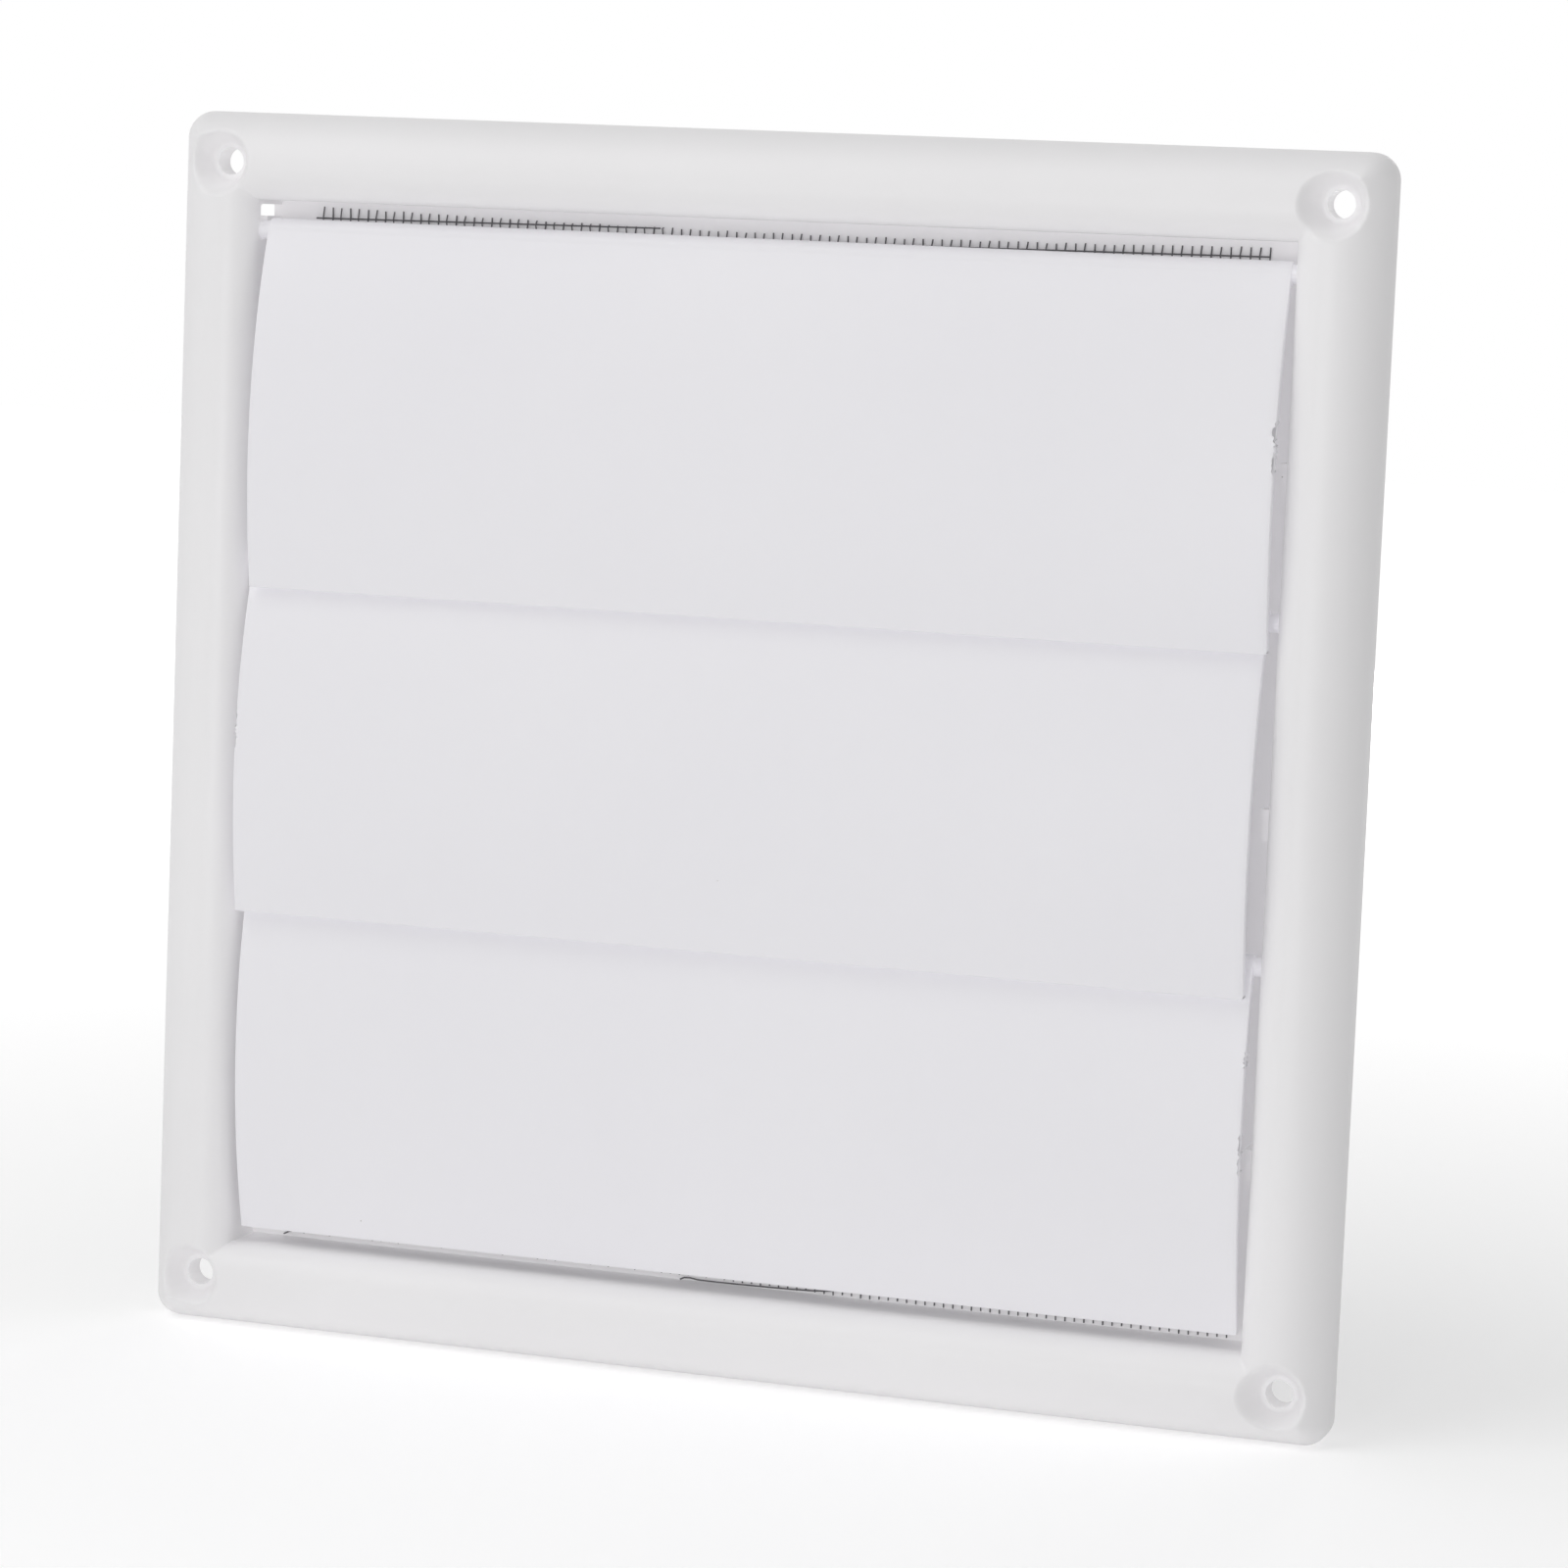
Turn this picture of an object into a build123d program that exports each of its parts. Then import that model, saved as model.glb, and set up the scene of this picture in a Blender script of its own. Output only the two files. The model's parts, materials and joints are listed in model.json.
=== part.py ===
from build123d import *
import os
from math import sqrt

# A square wall grille with three gravity flaps, in millimetres.
# X runs across the grille, Z is up, and the front faces -Y.
# The origin is the centre of the wall face, which is the plane Y = 0.

# Bezel
outer_size = 200.0
corner_radius = 6.0
band_width = 14.0
rim_height = 3.0
crest_height = 10.5
inner_round = 5.0
skin = 2.0

# Box behind the bezel, and the ledge that carries the screen
ledge_depth = 3.0
ledge_thickness = 2.0
ledge_width = 11.0
box_wall = 1.4
duct_corner_radius = 8.0

# Screw holes
screw_inset = 8.0
screw_hole_dia = 4.4
cup_dia = 10.4
cup_floor_dia = 6.2
cup_floor_height = 4.4
cup_wall = 1.6

# Flaps
flap_names = ("flap_top", "flap_middle", "flap_bottom")
flap_end_gap = 1.3
flap_thickness = 1.4
flap_bow = 3.7
flap_overlap = 4.7
lap_gap = 0.7
lip_round = 0.5
lip_corner_cut = 0.8
bottom_gap = 2.6
bottom_flap_settle = 5.0
flap_side_shifts = (0.5, -0.4, 0.1)

# Pins on the flaps, and the drop-in seats for them in the box walls
pivot_drop = 4.8
pivot_height = 4.6
barrel_dia = 3.8
pin_dia = 3.0
pin_engagement = 1.3
pin_end_chamfer = 0.4
pin_clearance = 0.2
seat_headroom = 4.1
seat_entry_height = 1.9

# Stop tabs beside each flap
tab_drop = 31.4
tab_height = 4.9
tab_reach = 2.0
tab_front_height = 3.0

# Fly screen, drawn with few strands
screen_side_gap = 6.1
screen_top_gap = 1.8
screen_bottom_gap = 0.5
strand_width = 0.8
strand_depth = 0.35
strand_overshoot = 0.7
screen_columns = 12
screen_rows = 11

# Sizes that follow from those above
outer_half = outer_size / 2
opening_half = outer_half - band_width
opening_size = 2 * opening_half
corner_centre = outer_half - corner_radius
crest_inset = band_width - inner_round
flank_rise = crest_height - rim_height
flank_radius = (crest_inset**2 + flank_rise**2) / (2 * flank_rise)
box_half = opening_half + box_wall
duct_half = opening_half - ledge_width
screw_centre = outer_half - screw_inset
flap_count = len(flap_names)
flap_pitch = (opening_size - pivot_drop - flap_overlap - bottom_gap) / flap_count
flap_drop = flap_pitch + flap_overlap
flap_width = opening_size - 2 * flap_end_gap
lap_share = flap_overlap / flap_drop
lip_reach = barrel_dia / 2 + 4 * flap_bow * lap_share + (lap_gap + flap_thickness) / (1 - lap_share)
pin_length = flap_end_gap + pin_engagement
seat_half = opening_half + max(skin, box_wall)
seat_entry_depth = pivot_height + ledge_depth
pivot_y = -pivot_height
pivot_heights = [opening_half - pivot_drop - number * flap_pitch for number in range(flap_count)]


def bezel_section(inset: float, reach: float, plane: Plane) -> Sketch:
    """Section of the band on a plane across it, pulled in by inset, from the outer edge to reach inwards."""
    flank_foot = sqrt((flank_radius - inset) ** 2 - (crest_inset - inset) ** 2)
    foot = (outer_half - inset, 0)
    rim = (outer_half - inset, flank_radius - crest_height - flank_foot)
    crest = (outer_half - crest_inset, inset - crest_height)
    inner = (opening_half + inset, inner_round - crest_height)
    with BuildSketch(plane) as section:
        with BuildLine():
            Line(foot, rim)
            TangentArc(crest, rim, tangent=(1, 0))
            TangentArc(crest, inner, tangent=(-1, 0))
            Polyline(inner, (opening_half + inset, 0), foot)
        make_face()
        with Locations((outer_half, 0)):
            Rectangle(2 * reach, 4 * crest_height, mode=Mode.INTERSECT)
    return section.sketch


def bezel_ring(inset: float) -> Part:
    """The whole band as a solid ring: four mitred bars and four turned corners."""
    bar_section = bezel_section(inset, band_width, Plane.XY)
    corner_section = bezel_section(inset, corner_radius, Plane.XY.offset(corner_centre))
    with BuildPart() as bar:
        extrude(bar_section, amount=outer_half, both=True)
        with BuildSketch(Plane.XZ):
            Polygon(
                (outer_half, -corner_centre),
                (outer_half, corner_centre),
                (corner_centre, corner_centre),
                (opening_half, opening_half),
                (opening_half, -opening_half),
                (corner_centre, -corner_centre),
                align=None,
            )
        extrude(amount=crest_height, mode=Mode.INTERSECT)
    with BuildPart() as corner:
        corner_axis = Axis((corner_centre, 0, corner_centre), (0, -1, 0))
        revolve(corner_section, axis=corner_axis, revolution_arc=90)
    with BuildPart() as ring:
        for quarter in range(4):
            add(bar.part.rotate(Axis.Y, 90 * quarter))
            add(corner.part.rotate(Axis.Y, 90 * quarter))
    return ring.part


solid_band = bezel_ring(0)
screw_points = GridLocations(2 * screw_centre, 2 * screw_centre, 2, 2)

# Hollow of the band, open to the wall, with a boss left standing round each screw hole
with BuildPart() as hollow:
    add(bezel_ring(skin))
    with BuildSketch(Plane.XZ):
        with screw_points:
            Circle(cup_dia / 2 + cup_wall)
    extrude(amount=crest_height, mode=Mode.SUBTRACT)

# Frame: band, box walls, ledge, screw cups, pin seats and stop tabs in one moulding
with BuildPart() as frame:
    add(solid_band)
    add(hollow.part, mode=Mode.SUBTRACT)
    with BuildSketch(Plane.XZ):
        Rectangle(2 * box_half, 2 * box_half)
        Rectangle(opening_size, opening_size, mode=Mode.SUBTRACT)
    extrude(amount=-ledge_depth)
    with BuildSketch(Plane.XZ.offset(-ledge_depth)):
        Rectangle(2 * box_half, 2 * box_half)
        RectangleRounded(2 * duct_half, 2 * duct_half, duct_corner_radius, mode=Mode.SUBTRACT)
    extrude(amount=-ledge_thickness)

    # Wells with a through hole for the screws
    with BuildSketch(Plane.XZ):
        with screw_points:
            Circle(screw_hole_dia / 2)
    extrude(amount=crest_height, mode=Mode.SUBTRACT)
    with BuildSketch(Plane.XZ.offset(cup_floor_height)):
        with screw_points:
            Circle(cup_floor_dia / 2)
    extrude(amount=crest_height - cup_floor_height, mode=Mode.SUBTRACT)

    # Drop-in pin seats: a round-ended slot whose top runs back to the ledge as an entry
    seat_radius = pin_dia / 2 + pin_clearance
    seat_rise = seat_headroom - seat_radius
    with BuildSketch(Plane.YZ.offset(-seat_half)):
        with Locations(*[(pivot_y, height + seat_rise / 2) for height in pivot_heights]):
            SlotCenterToCenter(seat_rise, 2 * seat_radius, rotation=90)
        with Locations(*[(pivot_y, height + seat_headroom) for height in pivot_heights]):
            Rectangle(seat_entry_depth, seat_entry_height, align=(Align.MIN, Align.MAX))
    extrude(amount=2 * seat_half, mode=Mode.SUBTRACT)

    # Stop tabs on both side walls, running back to the ledge
    with BuildSketch(Plane.XZ.offset(-ledge_depth)):
        with Locations(*[(0, height - tab_drop) for height in pivot_heights]):
            Rectangle(opening_size, tab_height)
            Rectangle(opening_size - 2 * tab_reach, tab_height, mode=Mode.SUBTRACT)
    extrude(amount=ledge_depth + tab_front_height)
frame.part.label = "frame"


def gravity_flap(pivot_z: float, settle: float, side_shift: float) -> Part:
    """A bowed flap with a round top edge and a pin at each end, hung from its pins at rest."""
    top = (pivot_y - barrel_dia / 2, pivot_z)
    lip = (pivot_y - lip_reach, pivot_z - flap_drop)
    with BuildPart() as flap:
        with BuildSketch(Plane.YZ.offset(side_shift)):
            with BuildLine():
                front = SagittaArc(lip, top, flap_bow)
                offset(front, amount=flap_thickness, side=Side.RIGHT)
            make_face()
            with Locations((pivot_y, pivot_z)):
                Circle(barrel_dia / 2)
        extrude(amount=flap_width / 2, both=True)
        lip_edges = flap.faces().sort_by(Axis.Z)[0].edges()
        chamfer(lip_edges.filter_by(Axis.X, reverse=True), lip_corner_cut)
        fillet(flap.faces().sort_by(Axis.Z)[0].edges().filter_by(Axis.X), lip_round)
        with BuildSketch(Plane.YZ.offset(side_shift)):
            with Locations((pivot_y, pivot_z)):
                Circle(pin_dia / 2)
        extrude(amount=flap_width / 2 + pin_length, both=True)
        pin_ends = flap.faces().filter_by(Axis.X).sort_by(Axis.X)
        chamfer((pin_ends[0].edges() + pin_ends[-1].edges()), pin_end_chamfer)
    return flap.part.rotate(Axis((0, pivot_y, pivot_z), (1, 0, 0)), settle)


# Three flaps: the upper two rest on the flap below, and the lowest settles further back
settles = [0.0] * (flap_count - 1) + [bottom_flap_settle]
flaps = [gravity_flap(*places) for places in zip(pivot_heights, settles, flap_side_shifts)]

# Fly screen: upright strands in front of level ones, laid on the ledge
screen_half = opening_half - screen_side_gap
screen_top = opening_half - screen_top_gap
screen_bottom = screen_bottom_gap - opening_half
screen_middle = (screen_top + screen_bottom) / 2
column_pitch = (2 * (screen_half - strand_overshoot) - strand_width) / screen_columns
row_pitch = (screen_top - screen_bottom - 2 * strand_overshoot - strand_width) / screen_rows
with BuildPart() as fly_screen:
    with BuildSketch(Plane.XZ.offset(-ledge_depth)):
        with Locations((0, screen_middle)):
            with GridLocations(0, row_pitch, 1, screen_rows + 1):
                Rectangle(2 * screen_half, strand_width)
    extrude(amount=strand_depth)
    with BuildSketch(Plane.XZ.offset(strand_depth - ledge_depth)):
        with Locations((0, screen_middle)):
            with GridLocations(column_pitch, 0, screen_columns + 1, 1):
                Rectangle(strand_width, screen_top - screen_bottom)
    extrude(amount=strand_depth)
fly_screen.part.label = "fly_screen"

os.makedirs("parts", exist_ok=True)
export_step(frame.part, "parts/frame.step")
for flap_name, flap in zip(flap_names, flaps):
    flap.label = flap_name
    export_step(flap, f"parts/{flap_name}.step")
export_step(fly_screen.part, "parts/fly_screen.step")
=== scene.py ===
"""Looks of a square wall grille: a moulded bezel, three bowed gravity flaps and a woven fly screen."""

import json
import logging
import math
import random
from dataclasses import dataclass, field
from enum import Enum
from typing import Any

import bmesh
import bpy
from bmesh.types import BMEdge, BMesh, BMFace, BMVert
from mathutils import Matrix, Vector
from mathutils.geometry import intersect_sphere_sphere_2d


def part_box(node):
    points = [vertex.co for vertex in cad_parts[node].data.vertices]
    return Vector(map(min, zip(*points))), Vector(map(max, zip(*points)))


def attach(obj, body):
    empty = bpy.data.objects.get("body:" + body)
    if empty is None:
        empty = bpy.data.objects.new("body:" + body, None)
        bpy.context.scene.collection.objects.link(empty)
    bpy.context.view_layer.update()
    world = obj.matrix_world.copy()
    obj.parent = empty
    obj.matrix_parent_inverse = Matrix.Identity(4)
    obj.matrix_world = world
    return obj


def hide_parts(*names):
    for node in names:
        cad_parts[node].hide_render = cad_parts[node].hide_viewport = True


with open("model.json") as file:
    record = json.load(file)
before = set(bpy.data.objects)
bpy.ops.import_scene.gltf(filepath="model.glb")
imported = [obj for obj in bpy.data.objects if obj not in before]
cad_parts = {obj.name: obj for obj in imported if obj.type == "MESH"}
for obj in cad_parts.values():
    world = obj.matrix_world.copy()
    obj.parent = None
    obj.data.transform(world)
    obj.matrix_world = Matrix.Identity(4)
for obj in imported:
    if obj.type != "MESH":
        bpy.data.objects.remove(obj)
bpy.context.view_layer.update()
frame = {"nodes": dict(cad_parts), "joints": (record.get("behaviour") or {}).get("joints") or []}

LOG = logging.getLogger("wall_grille")
MM = 0.001
WELD = 0.01
SHARP_ANGLE = math.radians(32)
WHITE = "#FFFFFF"


def linear(colour: str) -> tuple[float, float, float, float]:
    """Turns an sRGB hex colour into linear light.

    Args:
        colour: six hex digits after a hash sign.

    Returns:
        Red, green, blue and a full alpha.
    """
    channels = [int(colour[at:at + 2], 16) / 255 for at in (1, 3, 5)]
    light = [value / 12.92 if value <= 0.04045 else ((value + 0.055) / 1.055) ** 2.4 for value in channels]
    return (light[0], light[1], light[2], 1.0)


def add_node(tree: bpy.types.NodeTree, kind: str, inputs: dict[Any, Any] | None = None,
             **settings: Any) -> bpy.types.Node:
    """Adds one node with its settings, its values and its links.

    Args:
        tree: the node tree that gets the node.
        kind: the node's type name.
        inputs: socket name or number to a value, or to the socket that feeds it.
        settings: attributes of the node itself.

    Returns:
        The new node.
    """
    node = tree.nodes.new(kind)
    for name, value in settings.items():
        setattr(node, name, value)
    for key, value in (inputs or {}).items():
        if isinstance(value, bpy.types.NodeSocket):
            tree.links.new(value, node.inputs[key])
        else:
            node.inputs[key].default_value = value
    return node


def new_material(name: str) -> tuple[bpy.types.Material, bpy.types.NodeTree]:
    """Starts a material with an empty node tree.

    Args:
        name: the material's name.

    Returns:
        The material and its tree.
    """
    material = bpy.data.materials.new(name)
    material.use_nodes = True
    material.node_tree.nodes.clear()
    return material, material.node_tree


def soft_min(first: float, second: float, blend: float) -> float:
    """The lower of two heights, with the crease between them rounded off.

    Args:
        first: one height.
        second: the other height.
        blend: how far apart the two may be and still round into each other.

    Returns:
        The rounded lower height.
    """
    share = min(max(0.5 + 0.5 * (second - first) / blend, 0.0), 1.0)
    return second + (first - second) * share - blend * share * (1 - share)


def soft_max(first: float, second: float, blend: float) -> float:
    """The higher of two heights, with the crease between them filled, as soft_min rounds it."""
    return -soft_min(-first, -second, blend)


def verts_of(geometry: list[Any]) -> list[BMVert]:
    """The vertices among what an operator made."""
    return [item for item in geometry if isinstance(item, BMVert)]


def all_of(shape: BMesh) -> list[Any]:
    """Every vertex, edge and face of a bmesh."""
    return shape.verts[:] + shape.edges[:] + shape.faces[:]


def round_edges(shape: BMesh, edges: list[BMEdge], reach: float, segments: int) -> None:
    """Rounds edges off.

    Args:
        shape: the bmesh that holds the edges.
        edges: the edges to round.
        reach: how far the rounding goes to each side.
        segments: facets across the rounding.
    """
    bmesh.ops.bevel(shape, geom=edges, offset=reach, segments=segments, profile=0.5, affect="EDGES",
                    material=-1)


def make_piece(shape: BMesh, name: str) -> bpy.types.Object:
    """Turns a bmesh in millimetres into a smooth-shaded object in metres at the origin.

    Args:
        shape: the finished bmesh, which is freed.
        name: the piece's name.

    Returns:
        The new object.
    """
    for face in shape.faces:
        face.smooth = True
    for edge in shape.edges:
        edge.smooth = edge.calc_face_angle(0.0) < SHARP_ANGLE
    bmesh.ops.scale(shape, vec=(MM, MM, MM), verts=shape.verts)
    mesh = bpy.data.meshes.new(name)
    shape.to_mesh(mesh)
    shape.free()
    piece = bpy.data.objects.new(name, mesh)
    bpy.context.scene.collection.objects.link(piece)
    return piece


def copy_of_node(node: str) -> BMesh:
    """A merged copy of a solid's mesh, in millimetres.

    Args:
        node: the solid's name.

    Returns:
        The copy, with its loose triangles welded.
    """
    shape = bmesh.new()
    shape.from_mesh(frame["nodes"][node].data)
    bmesh.ops.scale(shape, vec=(1 / MM, 1 / MM, 1 / MM), verts=shape.verts)
    bmesh.ops.remove_doubles(shape, verts=shape.verts, dist=WELD)
    shape.normal_update()
    return shape


@dataclass(frozen=True)
class MouldedPlastic:
    """White ABS from an injection mould: an even satin face with a fine spark-eroded grain."""

    name: str
    colour: str
    shade: str
    roughness: float
    # Strength of a painted glow that stands in for the light thin plastic lets through
    painted_glow_strength: float
    gloss_swing: float = 0.06
    ior: float = 1.53
    specular: float = 0.35
    cloud_mm: float = 55.0
    grain_mm: float = 0.9
    grain_depth_mm: float = 0.012
    grain_strength: float = 0.35
    speck_spacing_mm: float = 16.0
    speck_mm: float = 0.13
    speck: str = "#B9B7B4"

    def material(self) -> bpy.types.Material:
        """The plastic as a material.

        Returns:
            A material with faint flow clouds, a fine grain and a few specks.
        """
        material, tree = new_material(self.name)
        place = add_node(tree, "ShaderNodeTexCoord").outputs["Object"]
        # Melt that cools at its own pace leaves broad, very faint clouds of tone
        cloud = add_node(tree, "ShaderNodeTexNoise", {
            "Vector": place, "Scale": 1 / (self.cloud_mm * MM), "Detail": 2.0, "Roughness": 0.45})
        tone = add_node(tree, "ShaderNodeMix", {
            "Factor": cloud.outputs["Fac"], "A": linear(self.colour), "B": linear(self.shade)},
            data_type="RGBA")
        # Scorched crumbs in the melt, a fraction of a millimetre wide
        crumb = add_node(tree, "ShaderNodeTexVoronoi", {
            "Vector": place, "Scale": 1 / (self.speck_spacing_mm * MM)})
        near_crumb = add_node(tree, "ShaderNodeMath", {
            0: crumb.outputs["Distance"], 1: self.speck_mm / self.speck_spacing_mm}, operation="LESS_THAN")
        specked = add_node(tree, "ShaderNodeMix", {
            "Factor": near_crumb.outputs[0], "A": tone.outputs["Result"], "B": linear(self.speck)},
            data_type="RGBA")
        # The mould's eroded grain is about 0.1 mm wide: it is drawn coarser so that it shows
        grain = add_node(tree, "ShaderNodeTexNoise", {
            "Vector": place, "Scale": 1 / (self.grain_mm * MM), "Detail": 3.0, "Roughness": 0.6})
        bump = add_node(tree, "ShaderNodeBump", {
            "Strength": self.grain_strength, "Distance": self.grain_depth_mm * MM,
            "Height": grain.outputs["Fac"]})
        gloss = add_node(tree, "ShaderNodeMapRange", {
            "Value": grain.outputs["Fac"], "To Min": self.roughness - self.gloss_swing,
            "To Max": self.roughness + self.gloss_swing})
        skin = add_node(tree, "ShaderNodeBsdfPrincipled", {
            "Base Color": specked.outputs["Result"], "Roughness": gloss.outputs["Result"],
            "Normal": bump.outputs["Normal"], "IOR": self.ior, "Specular IOR Level": self.specular})
        # Thin white plastic lets some daylight through: that light is painted on as a glow which only
        # scattered light meets
        path = add_node(tree, "ShaderNodeLightPath")
        scattered = add_node(tree, "ShaderNodeMath", {
            0: path.outputs["Is Diffuse Ray"], 1: self.painted_glow_strength}, operation="MULTIPLY")
        painted_through_glow = add_node(tree, "ShaderNodeEmission", {
            "Color": linear(self.colour), "Strength": scattered.outputs[0]})
        both = add_node(tree, "ShaderNodeAddShader", {0: skin.outputs["BSDF"], 1: painted_through_glow.outputs["Emission"]})
        add_node(tree, "ShaderNodeOutputMaterial", {"Surface": both.outputs["Shader"]})
        # That glow is too weak to be sampled as a lamp
        material.cycles.emission_sampling = "NONE"
        return material


@dataclass(frozen=True)
class CoatedYarn:
    """Glass yarn in a dark vinyl coat, woven into insect netting: matt, dark grey, a little uneven."""

    name: str
    colour: str
    worn: str
    roughness: float
    gloss_swing: float = 0.1
    ior: float = 1.5
    blotch_mm: float = 1.2

    def material(self) -> bpy.types.Material:
        """The yarn as a material.

        Returns:
            A material whose coat is thinner and greyer in short stretches.
        """
        material, tree = new_material(self.name)
        place = add_node(tree, "ShaderNodeTexCoord").outputs["Object"]
        blotch = add_node(tree, "ShaderNodeTexNoise", {
            "Vector": place, "Scale": 1 / (self.blotch_mm * MM), "Detail": 2.0})
        tone = add_node(tree, "ShaderNodeMix", {
            "Factor": blotch.outputs["Fac"], "A": linear(self.colour), "B": linear(self.worn)},
            data_type="RGBA")
        gloss = add_node(tree, "ShaderNodeMapRange", {
            "Value": blotch.outputs["Fac"], "To Min": self.roughness - self.gloss_swing,
            "To Max": self.roughness + self.gloss_swing})
        coat = add_node(tree, "ShaderNodeBsdfPrincipled", {
            "Base Color": tone.outputs["Result"], "Roughness": gloss.outputs["Result"], "IOR": self.ior})
        add_node(tree, "ShaderNodeOutputMaterial", {"Surface": coat.outputs["BSDF"]})
        return material


@dataclass
class Bezel:
    """The moulded frame: a half-round band with a soft screw cup in each corner, and the box behind it.

    Sizes are in millimetres. The band's front is a surface of heights over the wall; the box, the hollow
    back, the pin seats and the stop tabs are the solid's own.
    """

    finish: MouldedPlastic
    node: str = "frame"
    body: str = "frame"
    slot: str = "frame_plastic"
    band_width: float = 14.0
    corner_radius: float = 4.3
    solid_corner_radius: float = 6.0
    rim_height: float = 3.0
    crest_height: float = 10.5
    inner_round: float = 5.0
    screw_inset: float = 8.0
    hole_radius: float = 2.2
    cup_floor_radius: float = 3.1
    cup_mouth_radius: float = 5.2
    cup_floor_height: float = 4.4
    cup_reach: float = 5.65
    rim_blend: float = 2.4
    floor_blend: float = 0.9
    valley_blend: float = 0.7
    flank_steps: int = 16
    round_steps: int = 12
    side_steps: int = 4
    corner_steps: int = 14
    cup_rings: int = 18
    apron_rings: int = 8
    corner_copies: int = 3
    front_tolerance: float = 0.12
    least_tilt: float = 0.001
    tighten_steps: int = 8
    outer_half: float = field(init=False)
    opening_half: float = field(init=False)
    crest_inset: float = field(init=False)
    flank_radius: float = field(init=False)
    screw_centre: float = field(init=False)
    edge: list[Vector] = field(init=False)

    def __post_init__(self) -> None:
        """Takes the outer size from the solid and works out the band's section."""
        self.outer_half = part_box(self.node)[1].x / MM
        self.opening_half = self.outer_half - self.band_width
        self.crest_inset = self.band_width - self.inner_round
        rise = self.crest_height - self.rim_height
        self.flank_radius = (self.crest_inset ** 2 + rise ** 2) / (2 * rise)
        self.screw_centre = self.outer_half - self.screw_inset
        self.edge = self.tile_edge()

    def section(self) -> list[tuple[float, float]]:
        """Points along the band's section.

        Returns:
            Inset from the outer edge and height over the wall, from the rim to the opening.
        """
        lean = math.asin(self.crest_inset / self.flank_radius)
        points = []
        for step in range(self.flank_steps + 1):
            turn = lean * (1 - step / self.flank_steps)
            points.append((self.crest_inset - self.flank_radius * math.sin(turn),
                           self.crest_height - self.flank_radius * (1 - math.cos(turn))))
        for step in range(1, self.round_steps + 1):
            turn = math.pi / 2 * step / self.round_steps
            points.append((self.crest_inset + self.inner_round * math.sin(turn),
                           self.crest_height - self.inner_round * (1 - math.cos(turn))))
        return points

    def band_height(self, inset: float) -> float:
        """Height of the band's skin at a distance from its outer edge.

        Args:
            inset: distance from the outer edge.

        Returns:
            Height over the wall.
        """
        away = inset - self.crest_inset
        radius = self.inner_round if away > 0 else self.flank_radius
        return self.crest_height - radius + math.sqrt(max(radius ** 2 - away ** 2, 0.0))

    def cup_height(self, away: float) -> float:
        """Height of a screw cup's floor and wall, with a round between them.

        Args:
            away: distance from the screw's axis.

        Returns:
            Height over the wall, which goes on rising past the cup's mouth.
        """
        depth = self.crest_height - self.cup_floor_height
        steepness = depth / (self.cup_mouth_radius - self.cup_floor_radius)
        wall = self.cup_floor_height + (away - self.cup_floor_radius) * steepness
        return soft_max(self.cup_floor_height, wall, self.floor_blend)

    def from_screw(self, across: float, up: float) -> float:
        """Distance from the axis of the nearest screw."""
        return math.hypot(abs(across) - self.screw_centre, abs(up) - self.screw_centre)

    def inset_at(self, across: float, up: float, radius: float) -> float:
        """Distance from the outer edge of the bezel.

        Args:
            across: X of the point.
            up: Z of the point.
            radius: rounding of the outer corners.

        Returns:
            Distance inwards from the edge.
        """
        inset_across, inset_up = self.outer_half - abs(across), self.outer_half - abs(up)
        if max(inset_across, inset_up) < radius:
            return radius - math.hypot(radius - inset_across, radius - inset_up)
        return min(inset_across, inset_up)

    def front_height(self, across: float, up: float) -> float:
        """Height of the finished front in a corner, with the cup's mouth and the mitre's valley rounded.

        Args:
            across: X of the point.
            up: Z of the point.

        Returns:
            Height over the wall.
        """
        insets = self.outer_half - abs(across), self.outer_half - abs(up)
        band = self.band_height(min(self.inset_at(across, up, self.corner_radius), self.band_width))
        if min(insets) > self.crest_inset:
            band = soft_max(self.band_height(insets[0]), self.band_height(insets[1]), self.valley_blend)
        return soft_min(band, self.cup_height(self.from_screw(across, up)), self.rim_blend)

    def tile_edge(self) -> list[Vector]:
        """Outline of one corner of the band, where it meets the bars and the outer wall.

        Returns:
            Points in order round the corner with positive X and Z.
        """
        half, inner, section = self.outer_half, self.opening_half, self.section()
        bar_end = [Vector((half - inset, -height, inner)) for inset, height in reversed(section)]
        top_end = [Vector((inner, -height, half - inset)) for inset, height in section]
        centre = half - self.corner_radius
        outer = []
        for step in range(1, self.side_steps):
            outer.append(Vector((half, -self.rim_height, inner + (centre - inner) * step / self.side_steps)))
        for step in range(self.corner_steps + 1):
            turn = math.pi / 2 * step / self.corner_steps
            outer.append(Vector((centre + self.corner_radius * math.cos(turn), -self.rim_height,
                                 centre + self.corner_radius * math.sin(turn))))
        for step in range(1, self.side_steps):
            outer.append(Vector((centre + (inner - centre) * step / self.side_steps, -self.rim_height, half)))
        return bar_end + outer + top_end[:-1]

    def place(self, ring: int, spoke: int) -> Vector:
        """A point of the corner's net of rings round the screw hole.

        Args:
            ring: number of the ring, counted from the hole.
            spoke: number of the spoke, counted along the corner's outline.

        Returns:
            The point on the band's front.
        """
        edge = self.edge[spoke]
        ray = Vector((edge.x - self.screw_centre, 0, edge.z - self.screw_centre))
        past_cup = ring - self.cup_rings
        if past_cup == self.apron_rings:
            return edge.copy()
        if past_cup <= 0:
            away = self.hole_radius + (self.cup_reach - self.hole_radius) * ring / self.cup_rings
        else:
            away = ray.length - (ray.length - self.cup_reach) * (1 - past_cup / self.apron_rings) ** 2
        spot = ray.normalized() * away + Vector((self.screw_centre, 0, self.screw_centre))
        spot.y = -self.front_height(spot.x, spot.z)
        return spot

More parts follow.
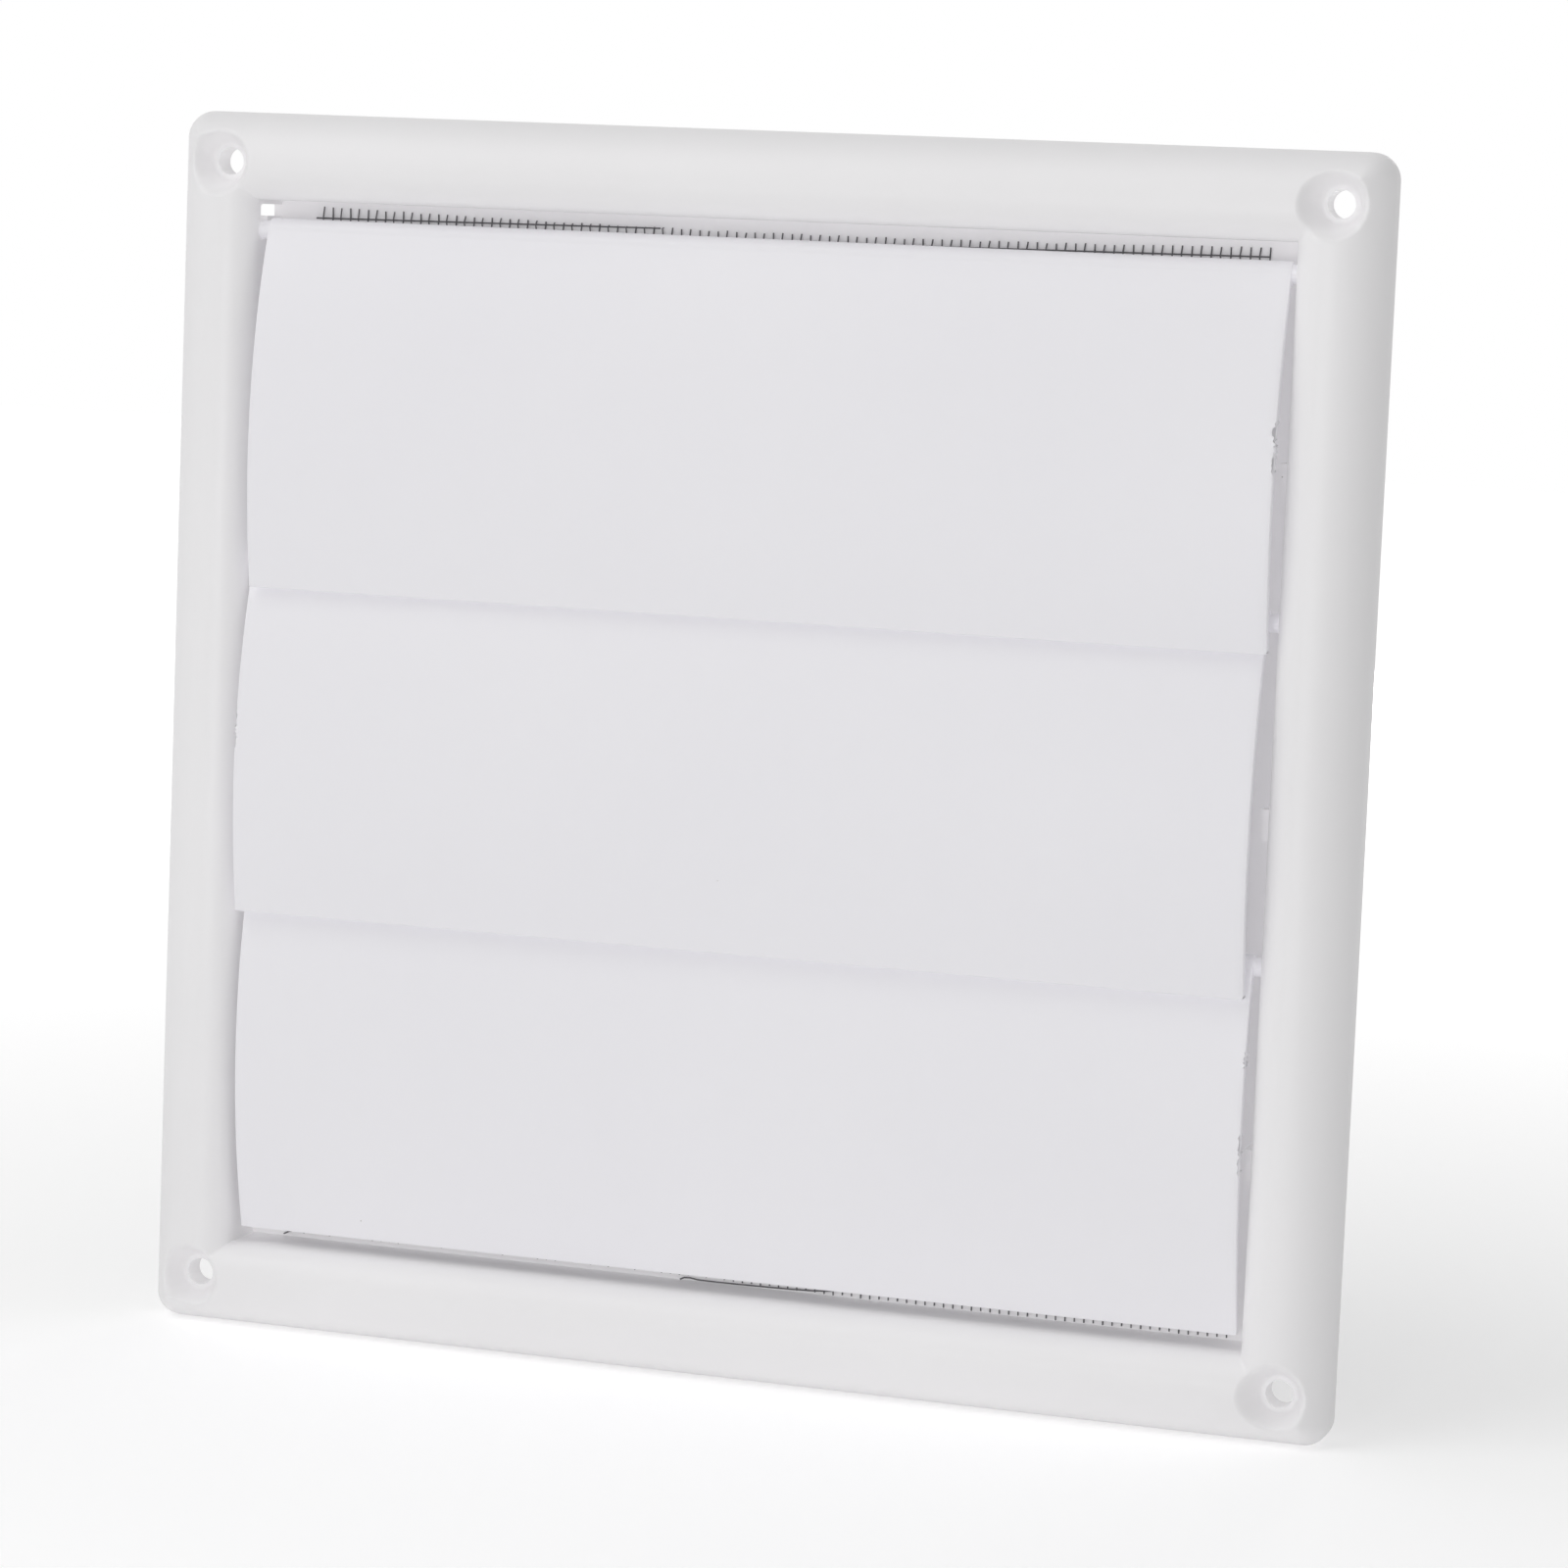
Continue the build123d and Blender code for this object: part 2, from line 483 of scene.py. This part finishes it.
    def build_front(self) -> BMesh:
        """Models the band's front: one corner as rings round its screw hole, one bar, and their copies.

        Returns:
            The front as an open skin, with the outer wall and the holes' walls.
        """
        shape = bmesh.new()
        spoke_of = shape.verts.layers.int.new("spoke")
        bmesh.ops.create_circle(shape, segments=len(self.edge), radius=self.hole_radius)
        for number, vert in enumerate(shape.verts):
            vert[spoke_of] = number
            vert.co = self.place(0, number)
        rim = shape.edges[:]
        for ring in range(1, self.cup_rings + self.apron_rings + 1):
            grown = bmesh.ops.extrude_edge_only(shape, edges=rim)["geom"]
            for vert in verts_of(grown):
                vert.co = self.place(ring, vert[spoke_of])
            rim = [edge for edge in grown if isinstance(edge, BMEdge)]
        bar_start = [edge for edge in rim if all(abs(v.co.z - self.opening_half) < WELD for v in edge.verts)]
        bar = bmesh.ops.extrude_edge_only(shape, edges=bar_start)["geom"]
        bmesh.ops.translate(shape, vec=(0, 0, -2 * self.opening_half), verts=verts_of(bar))
        shape.normal_update()
        if sum(face.normal.y for face in shape.faces) > 0:
            bmesh.ops.reverse_faces(shape, faces=shape.faces)
        bmesh.ops.spin(shape, geom=all_of(shape), cent=(0, 0, 0), axis=(0, 1, 0), dvec=(0, 0, 0),
                       angle=self.corner_copies * math.pi / 2, steps=self.corner_copies, use_merge=False,
                       use_duplicate=True)
        bmesh.ops.remove_doubles(shape, verts=shape.verts, dist=WELD)
        # The rim and the screw holes go straight back to the wall
        for height in (self.rim_height, self.cup_floor_height):
            open_edges = [edge for edge in shape.edges if edge.is_boundary
                          and all(abs(v.co.y + height) < self.front_tolerance for v in edge.verts)]
            wall = bmesh.ops.extrude_edge_only(shape, edges=open_edges)["geom"]
            for vert in verts_of(wall):
                vert.co.y = 0.0
        return shape

    def is_outer_edge(self, vert: BMVert) -> bool:
        """Whether a point of the solid's copy lies on its outer wall."""
        return self.inset_at(vert.co.x, vert.co.z, self.solid_corner_radius) < self.front_tolerance

    def tighten_corners(self, shape: BMesh) -> None:
        """Pulls the rounded corners of the solid's rear edge out to the front's tighter ones.

        Args:
            shape: the solid's copy, in millimetres.
        """
        centre = self.outer_half - self.solid_corner_radius
        for vert in filter(self.is_outer_edge, shape.verts):
            spot = vert.co
            outwards = Vector((math.copysign(max(abs(spot.x) - centre, 0.0), spot.x), 0.0,
                               math.copysign(max(abs(spot.z) - centre, 0.0), spot.z))).normalized()
            for _ in range(self.tighten_steps):
                vert.co += outwards * self.inset_at(vert.co.x, vert.co.z, self.corner_radius)

    def is_front(self, face: BMFace) -> bool:
        """Whether a face of the solid is part of the front that build_front makes.

        Args:
            face: a face of the solid's copy, in millimetres.

        Returns:
            True on the band's front, its outer wall, and the cups and walls of the screw holes.
        """
        if all(self.is_outer_edge(v) for v in face.verts):
            return True
        holes = [self.from_screw(v.co.x, v.co.z) for v in face.verts]
        if max(holes) < self.hole_radius + self.front_tolerance:
            return True
        middle = face.calc_center_median()
        if max(holes) < self.cup_mouth_radius + self.front_tolerance:
            return middle.y < self.front_tolerance - self.cup_floor_height
        inset = self.inset_at(middle.x, middle.z, self.solid_corner_radius)
        foot = self.rim_height if inset < self.crest_inset else self.crest_height - self.inner_round
        faces_front = face.normal.y < -self.least_tilt
        return inset < self.band_width and faces_front and middle.y < self.front_tolerance - foot

    def build(self) -> bpy.types.Object:
        """Joins the soft front to the solid's own back.

        Returns:
            The frame as one piece.
        """
        back = copy_of_node(self.node)
        bmesh.ops.delete(back, geom=[face for face in back.faces if self.is_front(face)], context="FACES")
        self.tighten_corners(back)
        rear = bpy.data.meshes.new("frame_rear")
        back.to_mesh(rear)
        back.free()
        shape = self.build_front()
        shape.from_mesh(rear)
        bpy.data.meshes.remove(rear)
        bmesh.ops.remove_doubles(shape, verts=shape.verts, dist=WELD)
        return make_piece(shape, "moulded_frame")

    def dress(self, piece: bpy.types.Object) -> None:
        """Gives the frame its finish and its body.

        Args:
            piece: the built frame.
        """
        piece.data.materials.append(self.finish.material())
        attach(piece, self.body)
        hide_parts(self.node)


class FlapEnd(Enum):
    """The end of a flap, as the sign of X on it."""

    LEFT = -1
    RIGHT = 1


@dataclass(frozen=True)
class GateNotch:
    """A shallow notch in a flap's end where the moulding gate was torn off, with its rough stub inside."""

    end: FlapEnd
    start: float
    length: float
    depth: float
    stub_from: float = 0.36
    stub_to: float = 0.74
    roughness: float = 0.16
    softness: float = 0.7

    def depth_at(self, drop: float, chance: random.Random) -> float:
        """How far the flap's end is cut back.

        Args:
            drop: distance below the pivot.
            chance: source of the stub's torn edge.

        Returns:
            Depth of the notch there, which is zero outside it.
        """
        share = (drop - self.start) / self.length
        if not 0 < share < 1:
            return 0.0
        if share < self.stub_from:
            return self.depth * math.sin(math.pi * share / self.stub_from) ** self.softness
        if share > self.stub_to:
            past_stub = (share - self.stub_to) / (1 - self.stub_to)
            return self.depth * math.sin(math.pi * past_stub) ** self.softness
        return chance.uniform(0, self.roughness)


@dataclass
class GravityFlap:
    """A bowed flap that hangs on two pins at its round top edge. Sizes are in millimetres."""

    node: str
    finish: bpy.types.Material
    settle_deg: float = 0.0
    notches: tuple[GateNotch, ...] = ()
    slot: str = "flap_plastic"
    drop: float = 58.0
    bow: float = 3.7
    thickness: float = 1.4
    lip_reach: float = 5.38
    barrel_radius: float = 1.9
    pin_radius: float = 1.5
    pin_length: float = 2.6
    pin_chamfer: float = 0.4
    lip_round: float = 0.5
    corner_round: float = 0.8
    edge_round: float = 0.22
    end_strip: float = 1.6
    end_facing: float = 0.7
    arc_steps: int = 190
    round_segments: int = 40
    lip_segments: int = 4
    edge_segments: int = 2
    pivot: Vector = field(init=False)
    left: float = field(init=False)
    right: float = field(init=False)

    def __post_init__(self) -> None:
        """Takes the pivot and the ends from the frame."""
        joint = next(joint for joint in frame["joints"] if joint["child"] == self.node)
        self.pivot = Vector(joint["pos_m"]) / MM
        low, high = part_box(self.node)
        self.left = low.x / MM + self.pin_length
        self.right = high.x / MM - self.pin_length

    def section(self, shape: BMesh) -> None:
        """Draws the flap's section: a bowed front and back, a lip, and the round bar they hang from.

        Args:
            shape: the bmesh that gets the section as one face at the left end.
        """
        top = self.pivot + Vector((0, -self.barrel_radius, 0))
        lip = self.pivot + Vector((0, -self.lip_reach, -self.drop))
        chord = lip - top
        radius = (chord.length_squared / 4 + self.bow ** 2) / (2 * self.bow)
        inward = Vector((0, -chord.z, chord.y)).normalized()
        centre = (top + lip) / 2 + inward * (radius - self.bow)
        sweep = 2 * math.asin(chord.length / 2 / radius)
        crossings = intersect_sphere_sphere_2d(
            self.pivot.yz, self.barrel_radius, centre.yz, radius - self.thickness)
        meet = Vector((0, *min(crossings, key=lambda spot: spot.y)))
        wrap = math.atan2(meet.z - self.pivot.z, self.pivot.y - meet.y) % math.tau
        late = (top - centre).angle(meet - centre)
        arcs = ((top, centre, sweep, self.arc_steps), (meet, centre, sweep - late, self.arc_steps),
                (top, self.pivot, -wrap, self.round_segments))
        lips = []
        for spot, middle, turn, steps in arcs:
            vert = shape.verts.new((self.left, spot.y, spot.z))
            swept = bmesh.ops.spin(shape, geom=[vert], cent=middle, axis=(1, 0, 0), dvec=(0, 0, 0),
                                   angle=turn, steps=steps, use_merge=False)
            lips += swept["geom_last"]
        shape.edges.new(lips[:2])
        bmesh.ops.remove_doubles(shape, verts=shape.verts, dist=WELD)
        bmesh.ops.edgeloop_fill(shape, edges=shape.edges)

    def plate(self, shape: BMesh) -> None:
        """Models the flap's plate and its round top by pulling the section from end to end.

        Args:
            shape: the bmesh that gets the plate.
        """
        self.section(shape)
        pulled = bmesh.ops.extrude_face_region(shape, geom=shape.faces[:])["geom"]
        bmesh.ops.translate(shape, vec=(self.right - self.left, 0, 0), verts=verts_of(pulled))
        bmesh.ops.recalc_face_normals(shape, faces=shape.faces)
        for cut in (self.left + self.end_strip, self.right - self.end_strip):
            bmesh.ops.bisect_plane(shape, geom=all_of(shape), dist=WELD, plane_co=(cut, 0, 0),
                                   plane_no=(1, 0, 0))
        self.tear_gates(shape)
        lowest = min(v.co.z for v in shape.verts)
        corners = [edge for edge in shape.edges if edge.calc_face_angle(0.0) > SHARP_ANGLE
                   and abs(edge.verts[0].co.x - edge.verts[1].co.x) < WELD
                   and abs(edge.calc_length() - self.thickness) < WELD
                   and min(v.co.z for v in edge.verts) < lowest + self.thickness]
        round_edges(shape, corners, self.corner_round, self.lip_segments)
        lips = [edge for edge in shape.edges if edge.calc_face_angle(0.0) > SHARP_ANGLE
                and abs(edge.verts[0].co.x - edge.verts[1].co.x) > WELD
                and min(v.co.z for v in edge.verts) < lowest + self.thickness]
        round_edges(shape, lips, self.lip_round, self.lip_segments)
        ends = [edge for edge in shape.edges if len(edge.link_faces) == 2
                and sum(abs(face.normal.x) > self.end_facing for face in edge.link_faces) == 1]
        round_edges(shape, ends, self.edge_round, self.edge_segments)

    def tear_gates(self, shape: BMesh) -> None:
        """Cuts the gate notches back into the plate's ends.

        Args:
            shape: the bmesh that holds the square-ended plate.
        """
        chance = random.Random(self.node)
        for notch in self.notches:
            tip = self.right if notch.end is FlapEnd.RIGHT else self.left
            for vert in shape.verts:
                if abs(vert.co.x - tip) < WELD:
                    vert.co.x -= notch.end.value * notch.depth_at(self.pivot.z - vert.co.z, chance)

    def pin(self, shape: BMesh) -> None:
        """Models the pins at both ends as one bar through the round top.

        Args:
            shape: the bmesh that gets the bar.
        """
        spot = Vector(((self.left + self.right) / 2, self.pivot.y, self.pivot.z))
        turn = Matrix.Translation(spot) @ Matrix.Rotation(math.pi / 2, 4, "Y")
        length = self.right - self.left + 2 * self.pin_length
        bar = bmesh.ops.create_cone(shape, cap_ends=True, segments=self.round_segments, depth=length,
                                    radius1=self.pin_radius, radius2=self.pin_radius, matrix=turn)["verts"]
        rims = dict.fromkeys(edge for vert in bar for edge in vert.link_edges
                             if edge.calc_length() < self.pin_radius)
        round_edges(shape, list(rims), self.pin_chamfer, self.edge_segments)

    def build(self) -> bpy.types.Object:
        """Models the flap at rest.

        Returns:
            The flap as one piece.
        """
        shape = bmesh.new()
        self.plate(shape)
        self.pin(shape)
        bmesh.ops.rotate(shape, verts=shape.verts, cent=self.pivot,
                         matrix=Matrix.Rotation(math.radians(self.settle_deg), 3, "X"))
        return make_piece(shape, self.node + "_moulding")

    def dress(self, piece: bpy.types.Object) -> None:
        """Gives the flap its finish and its body.

        Args:
            piece: the built flap.
        """
        piece.data.materials.append(self.finish)
        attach(piece, self.node)
        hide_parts(self.node)


@dataclass
class FlyScreen:
    """Insect netting cut by hand and laid on the ledge, a little askew. Sizes are in millimetres."""

    finish: CoatedYarn
    node: str = "fly_screen"
    body: str = "frame"
    slot: str = "screen_net"
    pitch: float = 1.55
    strand: float = 0.25
    lean: float = 0.011
    first_level: float = 84.22
    left_upright: float = -77.5
    uprights: int = 103
    levels: int = 109
    left_end: float = -79.7
    right_end: float = 79.7
    top_dip: float = 83.95
    top_curl: float = 1.25
    top_middle: float = 5.0
    bottom: float = -85.75
    bottom_rise: float = 0.62
    bottom_step: tuple[float, float] = (-12.0, 16.0)
    loose_yarns: tuple[tuple[tuple[float, float], ...], ...] = (
        ((-80.1, -85.6), (-79.2, -85.15), (-78.2, -84.9), (-76.4, -84.75), (-74.0, -84.5)),
        ((-9.7, -85.9), (-9.0, -85.55), (-7.9, -85.5), (-6.6, -85.7), (-3.0, -85.72), (3.0, -85.66),
         (9.0, -85.55), (13.0, -85.4), (16.5, -85.1)))
    fray: float = 0.12
    tip_bend: float = 0.1
    yarn_cover: float = 0.5
    level_steps: int = 40
    seed: int = 7
    depth: float = field(init=False)
    half_width: float = field(init=False)
    chance: random.Random = field(init=False)

    def __post_init__(self) -> None:
        """Takes the plane and the width of the net from its solid."""
        low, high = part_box(self.node)
        self.depth = (low.y + high.y) / 2 / MM
        self.half_width = high.x / MM
        self.chance = random.Random(self.seed)

    def cut_top(self, across: float) -> float:
        """Height of the hand-cut top edge.

        Args:
            across: X along the edge.

        Returns:
            Height, which dips in the middle of the net.
        """
        return self.top_dip + self.top_curl * ((across - self.top_middle) / self.half_width) ** 2

    def cut_bottom(self, across: float) -> float:
        """Height of the bottom edge.

        Args:
            across: X along the edge.

        Returns:
            Height, which is stepped down to the right where a yarn came loose.
        """
        start, end = self.bottom_step
        share = min(max((across - start) / (end - start), 0.0), 1.0)
        return self.bottom + self.bottom_rise * (1 - share * share * (3 - 2 * share))

    def level_height(self, number: int, across: float) -> float:
        """Height of a level strand, which climbs a little from left to right."""
        return self.first_level - number * self.pitch + self.lean * across

    def level_strands(self) -> list[list[Vector]]:
        """The level strands, each cut off where it meets the top edge.

        Returns:
            A list of points for each strand.
        """
        strands = []
        for number in range(self.levels):
            points = []
            for at in range(self.level_steps + 1):
                across = self.left_end + (self.right_end - self.left_end) * at / self.level_steps
                if self.level_height(number, across) < self.cut_top(across) or len(points) == 0:
                    points.append(Vector((across, self.depth, self.level_height(number, across))))
                else:
                    break
            if len(points) > 1:
                strands.append(points)
        return strands

    def upright_strands(self) -> list[list[Vector]]:
        """The upright strands, which pass in front of and behind the level ones by turns.

        Returns:
            A list of points for each strand.
        """
        strands = []
        for number in range(self.uprights):
            base = self.left_upright + number * self.pitch
            tip = self.cut_top(base) + self.chance.uniform(-self.fray, self.fray)
            end = self.cut_bottom(base) + self.chance.uniform(-self.fray, self.fray)
            points = [Vector((base - self.lean * end, self.depth, end))]
            for level in reversed(range(self.levels)):
                height = self.level_height(level, base)
                if end < height < tip:
                    side = self.strand if (number + level) % 2 else -self.strand
                    points.append(Vector((base - self.lean * height, self.depth + side, height)))
            bend = self.tip_bend + self.chance.uniform(-self.tip_bend, self.tip_bend) / 2
            points.append(Vector((base - self.lean * tip + bend, self.depth, tip)))
            strands.append(points)
        return strands

    def build(self) -> bpy.types.Object:
        """Models every strand as a thin tube.

        Returns:
            The net as one mesh piece.
        """
        curve = bpy.data.curves.new("net_strands", "CURVE")
        curve.dimensions = "3D"
        curve.bevel_depth = self.strand / 2 * MM
        curve.bevel_resolution = 0
        curve.use_fill_caps = True
        loose = [[Vector((across, self.depth - self.strand, up)) for across, up in yarn]
                 for yarn in self.loose_yarns]
        for points in self.level_strands() + self.upright_strands() + loose:
            spline = curve.splines.new("POLY")
            spline.points.add(len(points) - 1)
            for spot, point in zip(spline.points, points):
                spot.co = (*(point * MM), 1.0)
        holder = bpy.data.objects.new("net_strands", curve)
        bpy.context.scene.collection.objects.link(holder)
        bpy.context.view_layer.update()
        tubes = bpy.data.meshes.new_from_object(holder.evaluated_get(bpy.context.evaluated_depsgraph_get()))
        bpy.data.objects.remove(holder)
        shape = bmesh.new()
        shape.from_mesh(tubes)
        bpy.data.meshes.remove(tubes)
        bmesh.ops.scale(shape, vec=(1 / MM, 1 / MM, 1 / MM), verts=shape.verts)
        bmesh.ops.remove_doubles(shape, verts=shape.verts, dist=WELD)
        bmesh.ops.recalc_face_normals(shape, faces=shape.faces)
        return make_piece(shape, "woven_net")

    def dress(self, piece: bpy.types.Object) -> None:
        """Gives the net its finish and its body.

        Args:
            piece: the built net.
        """
        piece.data.materials.append(self.finish.material())
        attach(piece, self.body)
        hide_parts(self.node)


@dataclass(frozen=True)
class SoftLamp:
    """A square area lamp that faces the grille, in millimetres. Glossy faces mirror it only with glints."""

    name: str
    spot: Vector
    size: float
    watts: float
    glints: bool = True


@dataclass
class Studio:
    """The pale floor, the white surround, the soft light and the camera. Places are in millimetres."""

    camera_spot: Vector = field(default_factory=lambda: Vector((255.397, -760.321, 87.970)))
    aim: Vector = field(default_factory=lambda: Vector((5.468, 0.0, -3.281)))
    roll_deg: float = 2.3233
    focal_length: float = 115.816
    sensor: float = 36.0
    clip: tuple[float, float] = (10.0, 100_000.0)
    floor_size: float = 6000.0
    floor_colour: str = "#F4F4F4"
    floor_lift: tuple[float, float] = (0.16, 0.6)
    floor_lift_reach: float = 700.0
    floor_bounce: float = 0.13
    ambient: float = 0.505
    lamps: tuple[SoftLamp, ...] = (
        SoftLamp("soft_key", Vector((-500.0, -620.0, 800.0)), size=800.0, watts=3.0),
        SoftLamp("soft_top", Vector((0.0, -250.0, 1000.0)), size=500.0, watts=0.8),
        SoftLamp("low_fill", Vector((60.0, -900.0, 20.0)), size=180.0, watts=1.15),
        SoftLamp("backdrop_glow", Vector((0.0, 1400.0, -60.0)), size=200.0, watts=10.0, glints=False))

    def camera(self) -> None:
        """Sets the camera at the photograph's viewpoint, tilted as it was held."""
        data = bpy.data.cameras.new("viewpoint")
        data.lens = self.focal_length
        data.sensor_width = self.sensor
        data.clip_start, data.clip_end = (distance * MM for distance in self.clip)
        camera = bpy.data.objects.new("viewpoint", data)
        look = (self.aim - self.camera_spot).to_track_quat("-Z", "Y").to_matrix().to_4x4()
        roll = Matrix.Rotation(math.radians(self.roll_deg), 4, "Z")
        camera.matrix_world = Matrix.Translation(self.camera_spot * MM) @ look @ roll
        bpy.context.scene.collection.objects.link(camera)
        bpy.context.scene.camera = camera

    def seen_directly(self, tree: bpy.types.NodeTree) -> bpy.types.NodeSocket:
        """A value of one on rays that show the surround as it is.

        Args:
            tree: the node tree that needs it.

        Returns:
            The socket, one for camera, mirror and glass rays and zero for the rest.
        """
        path = add_node(tree, "ShaderNodeLightPath").outputs
        shiny = add_node(tree, "ShaderNodeMath", {
            0: path["Is Glossy Ray"], 1: path["Is Transmission Ray"]}, operation="MAXIMUM")
        return add_node(tree, "ShaderNodeMath", {
            0: path["Is Camera Ray"], 1: shiny.outputs[0]}, operation="MAXIMUM").outputs[0]

    def surround(self) -> None:
        """A white surround that lights the object softly from all sides."""
        world = bpy.data.worlds.new("white_surround")
        world.use_nodes = True
        tree = world.node_tree
        tree.nodes.clear()
        strength = add_node(tree, "ShaderNodeMapRange", {
            "Value": self.seen_directly(tree), "To Min": self.ambient, "To Max": 1.0})
        sky = add_node(tree, "ShaderNodeBackground", {
            "Color": linear(WHITE), "Strength": strength.outputs["Result"]})
        add_node(tree, "ShaderNodeOutputWorld", {"Surface": sky.outputs["Background"]})
        bpy.context.scene.world = world

    def floor(self) -> None:
        """A pale matt floor under the grille's lower edge, lifted to white where no shadow falls."""
        shape = bmesh.new()
        bmesh.ops.create_grid(shape, x_segments=1, y_segments=1, size=self.floor_size / 2)
        low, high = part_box("frame")
        bmesh.ops.translate(shape, verts=shape.verts, vec=(0, 0, low.z / MM))
        piece = make_piece(shape, "floor")
        # A roll of matt white card, pressed smooth: an even ground that shows only the soft shadow
        material, tree = new_material("matt_white_card")
        place = add_node(tree, "ShaderNodeTexCoord").outputs["Object"]
        away = add_node(tree, "ShaderNodeVectorMath", {0: place}, operation="LENGTH")
        rise = add_node(tree, "ShaderNodeMapRange", {
            "Value": away.outputs["Value"], "From Min": high.x, "From Max": self.floor_lift_reach * MM,
            "To Min": self.floor_lift[0], "To Max": self.floor_lift[1]})
        lift = add_node(tree, "ShaderNodeMapRange", {
            "Value": self.seen_directly(tree), "To Min": self.floor_bounce, "To Max": rise.outputs["Result"]})
        glow = add_node(tree, "ShaderNodeEmission", {
            "Color": linear(WHITE), "Strength": lift.outputs["Result"]})
        card = add_node(tree, "ShaderNodeBsdfDiffuse", {"Color": linear(self.floor_colour)})
        both = add_node(tree, "ShaderNodeAddShader", {0: card.outputs["BSDF"], 1: glow.outputs["Emission"]})
        add_node(tree, "ShaderNodeOutputMaterial", {"Surface": both.outputs["Shader"]})
        piece.data.materials.append(material)

    def light(self) -> None:
        """Soft lamps at the upper left, above and low in front, and the glow of a lit backdrop behind."""
        for soft in self.lamps:
            data = bpy.data.lights.new(soft.name, "AREA")
            data.size = soft.size * MM
            data.energy = soft.watts
            lamp = bpy.data.objects.new(soft.name, data)
            aim = (-soft.spot).to_track_quat("-Z", "Y").to_matrix().to_4x4()
            lamp.matrix_world = Matrix.Translation(soft.spot * MM) @ aim
            lamp.visible_camera = False
            lamp.visible_glossy = soft.glints
            bpy.context.scene.collection.objects.link(lamp)

    def build(self) -> None:
        """Sets the whole stage."""
        bpy.context.scene.view_settings.view_transform = "Standard"
        self.camera()
        self.surround()
        self.floor()
        self.light()


def main() -> None:
    """Builds and dresses every piece, then the stage."""
    logging.basicConfig(level=logging.INFO, format="%(name)s: %(message)s")
    # Both plastics carry a painted glow for the light that passes through their thin walls
    bezel_plastic = MouldedPlastic("white_abs_bezel", "#EAE9EA", "#E4E3E4", roughness=0.42, painted_glow_strength=0.25)
    flap_plastic = MouldedPlastic("white_abs_flap", "#E8E7EA", "#E4E3E7", roughness=0.46, painted_glow_strength=0.26)
    yarn = CoatedYarn("vinyl_coated_yarn", "#4C4C4E", "#68686A", roughness=0.55)
    flap_finish = flap_plastic.material()
    assemblies: list[Bezel | GravityFlap | FlyScreen] = [
        Bezel(bezel_plastic),
        GravityFlap("flap_top", flap_finish, notches=(
            GateNotch(FlapEnd.RIGHT, start=22.6, length=7.2, depth=0.55),)),
        GravityFlap("flap_middle", flap_finish, notches=(
            GateNotch(FlapEnd.LEFT, start=24.5, length=6.0, depth=0.5),)),
        GravityFlap("flap_bottom", flap_finish, settle_deg=5.0, notches=(
            GateNotch(FlapEnd.RIGHT, start=12.6, length=2.0, depth=0.2),
            GateNotch(FlapEnd.RIGHT, start=25.6, length=5.4, depth=0.4))),
        FlyScreen(yarn),
    ]
    for assembly in assemblies:
        piece = assembly.build()
        assembly.dress(piece)
        LOG.info("%s: %d faces", piece.name, len(piece.data.polygons))
    Studio().build()


if __name__ == "__main__":
    main()
